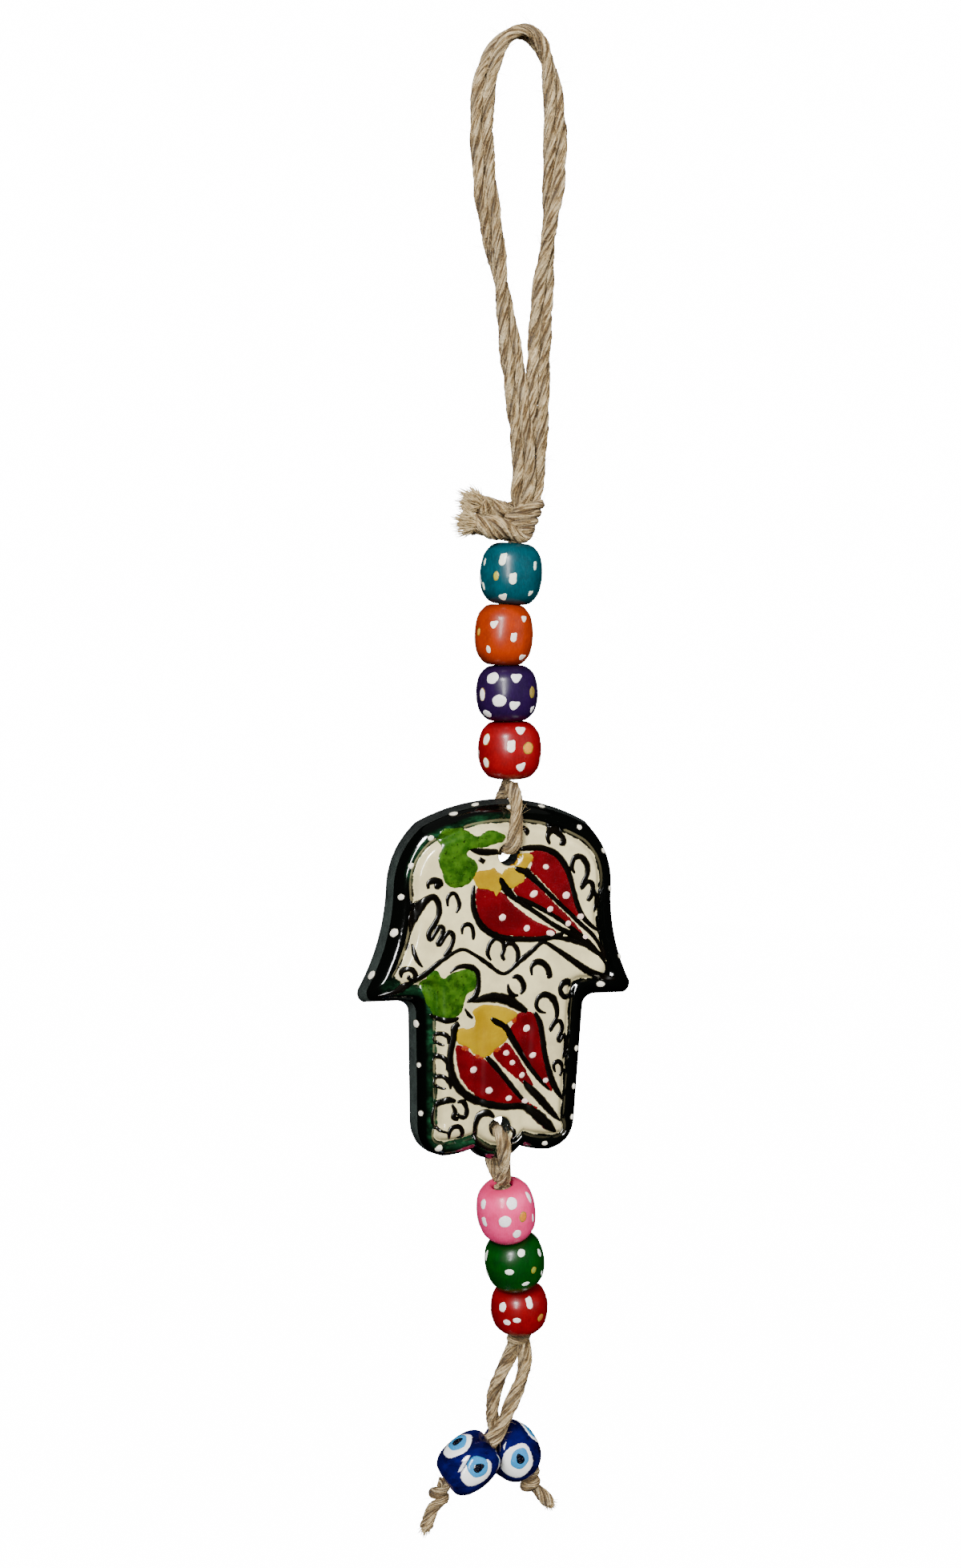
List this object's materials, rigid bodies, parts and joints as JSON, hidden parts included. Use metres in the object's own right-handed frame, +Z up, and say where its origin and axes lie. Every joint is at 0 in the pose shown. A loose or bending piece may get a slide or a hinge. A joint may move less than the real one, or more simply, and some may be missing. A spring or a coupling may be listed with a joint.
{
  "type": "hamsa hand ornament",
  "caption": "Hanging hamsa hand plate of painted glazed ceramic on a knotted jute loop, with painted wooden beads above and below and glass eye beads at the ends.",
  "frame": {"origin": "where the hanging loop rests on its nail", "axes": "+Z up, along which the ornament hangs down; -Y is the painted front of the plate; +Y is towards the wall"},
  "size_m": [0.068, 0.0221, 0.3527],
  "materials": {
    "teal_wood": "painted with spiky dots of lacquer and varnished to a high gloss",
    "orange_wood": "painted with spiky dots of lacquer and varnished to a high gloss",
    "purple_wood": "painted with spiky dots of lacquer and varnished to a high gloss",
    "red_wood": "painted with spiky dots of lacquer and varnished to a high gloss",
    "pink_wood": "painted with spiky dots of lacquer and varnished to a high gloss",
    "green_wood": "painted with spiky dots of lacquer and varnished to a high gloss",
    "crimson_wood": "painted with spiky dots of lacquer and varnished to a high gloss",
    "plate_ceramic": "glossy glaze with raised enamel painting, dark green border, matt grey-green edge",
    "jute": "coarse twisted jute twine with loose fibres",
    "cobalt_glass": "opaque glossy cobalt glass with white, sky-blue and dark eye spots"
  },
  "bodies": {
    "hanger": {"loop_front_twine": "jute", "loop_back_twine": "jute", "top_knot": "jute", "upper_bead_cord": "jute"},
    "teal_bead": {"teal_bead": "teal_wood"},
    "orange_bead": {"orange_bead": "orange_wood"},
    "purple_bead": {"purple_bead": "purple_wood"},
    "red_bead": {"red_bead": "red_wood"},
    "upper_twine": {"upper_hole_twine": "jute"},
    "hand": {"hamsa_plate": "plate_ceramic"},
    "lower_twine": {"lower_hole_twine": "jute"},
    "lower_string": {"lower_bead_cord": "jute", "drop_knot": "jute"},
    "pink_bead": {"pink_bead": "pink_wood"},
    "green_bead": {"green_bead": "green_wood"},
    "crimson_bead": {"crimson_bead": "crimson_wood"},
    "front_drop": {"front_drop_twine": "jute", "front_end_knot": "jute"},
    "rear_drop": {"rear_drop_twine": "jute", "rear_end_knot": "jute"},
    "front_eye_bead": {"front_eye_bead": "cobalt_glass"},
    "rear_eye_bead": {"rear_eye_bead": "cobalt_glass"}
  },
  "joints": [
    {"name": "teal_spin", "type": "hinge", "parent": "hanger", "child": "teal_bead", "pos_m": [0.0006, 0, -0.11893], "axis": [0.0349, 0, 0.9994], "continuous": true},
    {"name": "orange_spin", "type": "hinge", "parent": "hanger", "child": "orange_bead", "pos_m": [-0.0007, 0, -0.1329], "axis": [0, 0, 1], "continuous": true},
    {"name": "purple_spin", "type": "hinge", "parent": "hanger", "child": "purple_bead", "pos_m": [0.0005, 0, -0.14633], "axis": [-0.0349, 0, 0.9994], "continuous": true},
    {"name": "red_spin", "type": "hinge", "parent": "hanger", "child": "red_bead", "pos_m": [0.00161, 0, -0.1595], "axis": [-0.0349, 0, 0.9994], "continuous": true},
    {"name": "upper_swing", "type": "hinge", "parent": "hanger", "child": "upper_twine", "pos_m": [0.00191, 0, -0.16606], "axis": [1, 0, 0], "range_deg": [-18, 18]},
    {"name": "hand_swing", "type": "hinge", "parent": "upper_twine", "child": "hand", "pos_m": [0.0012, 0, -0.18221], "axis": [0, 1, 0], "range_deg": [-18, 18]},
    {"name": "lower_sway", "type": "hinge", "parent": "hand", "child": "lower_twine", "pos_m": [0.0012, 0, -0.24971], "axis": [0, 1, 0], "range_deg": [-18, 18]},
    {"name": "lower_swing", "type": "hinge", "parent": "lower_twine", "child": "lower_string", "pos_m": [0.0031, -0.0006, -0.26311], "axis": [1, 0, 0], "range_deg": [-18, 6]},
    {"name": "pink_spin", "type": "hinge", "parent": "lower_string", "child": "pink_bead", "pos_m": [0.00467, 0.00031, -0.26987], "axis": [-0.225, -0.1305, 0.9656], "continuous": true},
    {"name": "green_spin", "type": "hinge", "parent": "lower_string", "child": "green_bead", "pos_m": [0.00788, 0.00211, -0.28313], "axis": [-0.2419, -0.1305, 0.9615], "continuous": true},
    {"name": "crimson_spin", "type": "hinge", "parent": "lower_string", "child": "crimson_bead", "pos_m": [0.01011, 0.00379, -0.29564], "axis": [-0.1045, -0.1305, 0.9859], "continuous": true},
    {"name": "front_drop_swing", "type": "hinge", "parent": "lower_string", "child": "front_drop", "pos_m": [0.012, 0.00333, -0.30723], "axis": [1, 0, 0], "range_deg": [-30, 0]},
    {"name": "rear_drop_swing", "type": "hinge", "parent": "lower_string", "child": "rear_drop", "pos_m": [0.0094, 0.00573, -0.30723], "axis": [1, 0, 0], "range_deg": [0, 20]},
    {"name": "front_eye_spin", "type": "hinge", "parent": "front_drop", "child": "front_eye_bead", "pos_m": [-0.0024, 0.00143, -0.33253], "axis": [0.829, 0, 0.5593], "continuous": true},
    {"name": "rear_eye_spin", "type": "hinge", "parent": "rear_drop", "child": "rear_eye_bead", "pos_m": [0.011, 0.00843, -0.33442], "axis": [-0.6697, 0, 0.7426], "continuous": true}
  ]
}
